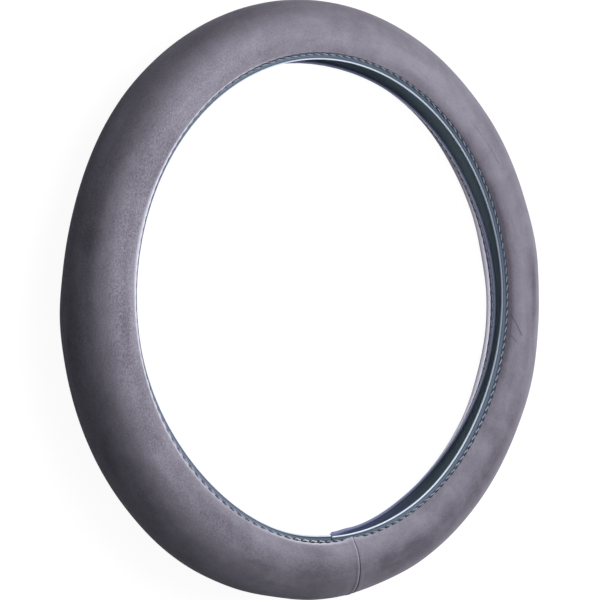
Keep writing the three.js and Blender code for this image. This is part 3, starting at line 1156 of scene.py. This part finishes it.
class COVER_OT_stage(bpy.types.Operator):
    """Set up the pale floor, the soft lamps, the world and the camera"""

    bl_idname = "cover.stage"
    bl_label = "Stage"

    # The camera, seen from the middle of the ring: its near side stands at this angle round it
    near_side = math.radians(281)
    elevation = math.radians(49.76)
    distance = 0.6062
    aim_sideways = -1.05 * MM
    aim_nearer = 32.92 * MM
    roll = math.radians(85.53)
    lens = 56.07

    def execute(self, context):
        self.floor()
        self.world(context.scene)
        for name, power, size, angle, elevation, distance in LAMPS:
            self.lamp(name, power, size, math.radians(angle), math.radians(elevation), distance)
        self.camera(context.scene)
        context.scene.view_settings.view_transform = "Standard"
        return {"FINISHED"}

    def floor(self):
        """A floor that looks white, and takes the shadow of the cover"""
        bm = bmesh.new()
        bmesh.ops.create_grid(bm, x_segments=1, y_segments=1, size=3)
        mesh = bpy.data.meshes.new("floor")
        bm.to_mesh(mesh)
        bm.free()
        floor = bpy.data.objects.new("floor", mesh)
        bpy.context.scene.collection.objects.link(floor)
        material = bpy.data.materials.new("pale_floor")
        material.use_nodes = True
        tree = material.node_tree
        tree.nodes.clear()
        paint = add_node(tree, "ShaderNodeBsdfDiffuse", {"Color": (0.12, 0.12, 0.12, 1)})
        glow = add_node(tree, "ShaderNodeEmission", {"Color": (1, 1, 1, 1), "Strength": 0.94})
        both = add_node(tree, "ShaderNodeAddShader")
        tree.links.new(paint.outputs["BSDF"], both.inputs[0])
        tree.links.new(glow.outputs["Emission"], both.inputs[1])
        seen = self.seen(tree)
        mixed = add_node(tree, "ShaderNodeMixShader", {"Fac": seen})
        tree.links.new(paint.outputs["BSDF"], mixed.inputs[1])
        tree.links.new(both.outputs["Shader"], mixed.inputs[2])
        add_node(tree, "ShaderNodeOutputMaterial", {"Surface": mixed.outputs["Shader"]})
        mesh.materials.append(material)

    def seen(self, tree):
        """1 for what the camera sees, also in a gloss or through glass"""
        path = add_node(tree, "ShaderNodeLightPath")
        shown = math_node(
            tree, "MAXIMUM", path.outputs["Is Camera Ray"], path.outputs["Is Glossy Ray"]
        )
        return math_node(tree, "MAXIMUM", shown, path.outputs["Is Transmission Ray"])

    def world(self, scene):
        """A white backdrop, and a weaker soft light on the cover"""
        world = bpy.data.worlds.new("studio")
        world.use_nodes = True
        tree = world.node_tree
        tree.nodes.clear()
        backdrop = {"Color": (1, 1, 1, 1), "Strength": 1.0}
        ambient = {"Color": (0.93, 0.96, 1, 1), "Strength": 0.234}
        mixed = add_node(tree, "ShaderNodeMixShader", {"Fac": self.seen(tree)})
        soft = add_node(tree, "ShaderNodeBackground", ambient)
        white = add_node(tree, "ShaderNodeBackground", backdrop)
        tree.links.new(soft.outputs["Background"], mixed.inputs[1])
        tree.links.new(white.outputs["Background"], mixed.inputs[2])
        add_node(tree, "ShaderNodeOutputWorld", {"Surface": mixed.outputs["Shader"]})
        scene.world = world

    def lamp(self, name, power, size, angle, elevation, distance):
        """A square lamp that looks at the middle of the ring, hidden from the camera"""
        light = bpy.data.lights.new(name, "AREA")
        light.energy = power
        light.size = size
        lamp = bpy.data.objects.new(name, light)
        flat = Vector((math.cos(angle), math.sin(angle), 0)) * math.cos(elevation)
        back = flat + Vector((0, 0, math.sin(elevation)))
        lamp.location = back * distance
        lamp.rotation_euler = back.to_track_quat("Z", "Y").to_euler()
        lamp.visible_camera = False
        bpy.context.scene.collection.objects.link(lamp)

    def camera(self, scene):
        """The camera of the photo, rolled so that the ring stands upright in the picture"""
        data = bpy.data.cameras.new("camera")
        data.sensor_width = 36
        data.lens = self.lens
        data.clip_start = 0.01
        camera = bpy.data.objects.new("camera", data)
        scene.collection.objects.link(camera)
        nearer = Vector((math.cos(self.near_side), math.sin(self.near_side), 0))
        sideways = Vector((nearer.y, -nearer.x, 0))
        middle = Vector((0, 0, bpy.context.scene.cover_sizes.middle_height))
        lift = Vector((0, 0, math.sin(self.elevation)))
        eye = (nearer * math.cos(self.elevation) + lift) * self.distance
        target = nearer * self.aim_nearer + sideways * self.aim_sideways
        forward = (target - eye).normalized()
        level = forward.cross(Vector((0, 0, 1))).normalized()
        upright = level.cross(forward)
        right = level * math.cos(self.roll) + upright * math.sin(self.roll)
        up = upright * math.cos(self.roll) - level * math.sin(self.roll)
        turn = Matrix((right, up, -forward)).transposed().to_4x4()
        camera.matrix_world = Matrix.Translation(eye + middle) @ turn
        scene.camera = camera


OPERATORS = (
    COVER_OT_rubber_hoop,
    COVER_OT_suede_sleeve,
    COVER_OT_stitching,
    COVER_OT_seam_thread,
    COVER_OT_stage,
)


class COVER_PT_panel(bpy.types.Panel):
    """Sizes, colours and pieces of the cover"""

    bl_idname = "COVER_PT_panel"
    bl_label = "Steering wheel cover"
    bl_space_type = "VIEW_3D"
    bl_region_type = "UI"
    bl_category = "Cover"

    def draw(self, context):
        for settings in (context.scene.cover_sizes, context.scene.cover_colours):
            box = self.layout.box()
            for name in settings.__annotations__:
                box.prop(settings, name)
        for operator in OPERATORS:
            self.layout.operator(operator.bl_idname)


CLASSES = (CoverSizes, CoverColours, *OPERATORS, COVER_PT_panel)


def register():
    for cls in CLASSES:
        bpy.utils.register_class(cls)
    bpy.types.Scene.cover_sizes = bpy.props.PointerProperty(type=CoverSizes)
    bpy.types.Scene.cover_colours = bpy.props.PointerProperty(type=CoverColours)


def unregister():
    del bpy.types.Scene.cover_colours
    del bpy.types.Scene.cover_sizes
    for cls in reversed(CLASSES):
        bpy.utils.unregister_class(cls)


def main():
    register()
    bpy.ops.cover.rubber_hoop()
    bpy.ops.cover.suede_sleeve()
    bpy.ops.cover.stitching()
    bpy.ops.cover.seam_thread()
    bpy.ops.cover.stage()


if __name__ == "__main__":
    main()
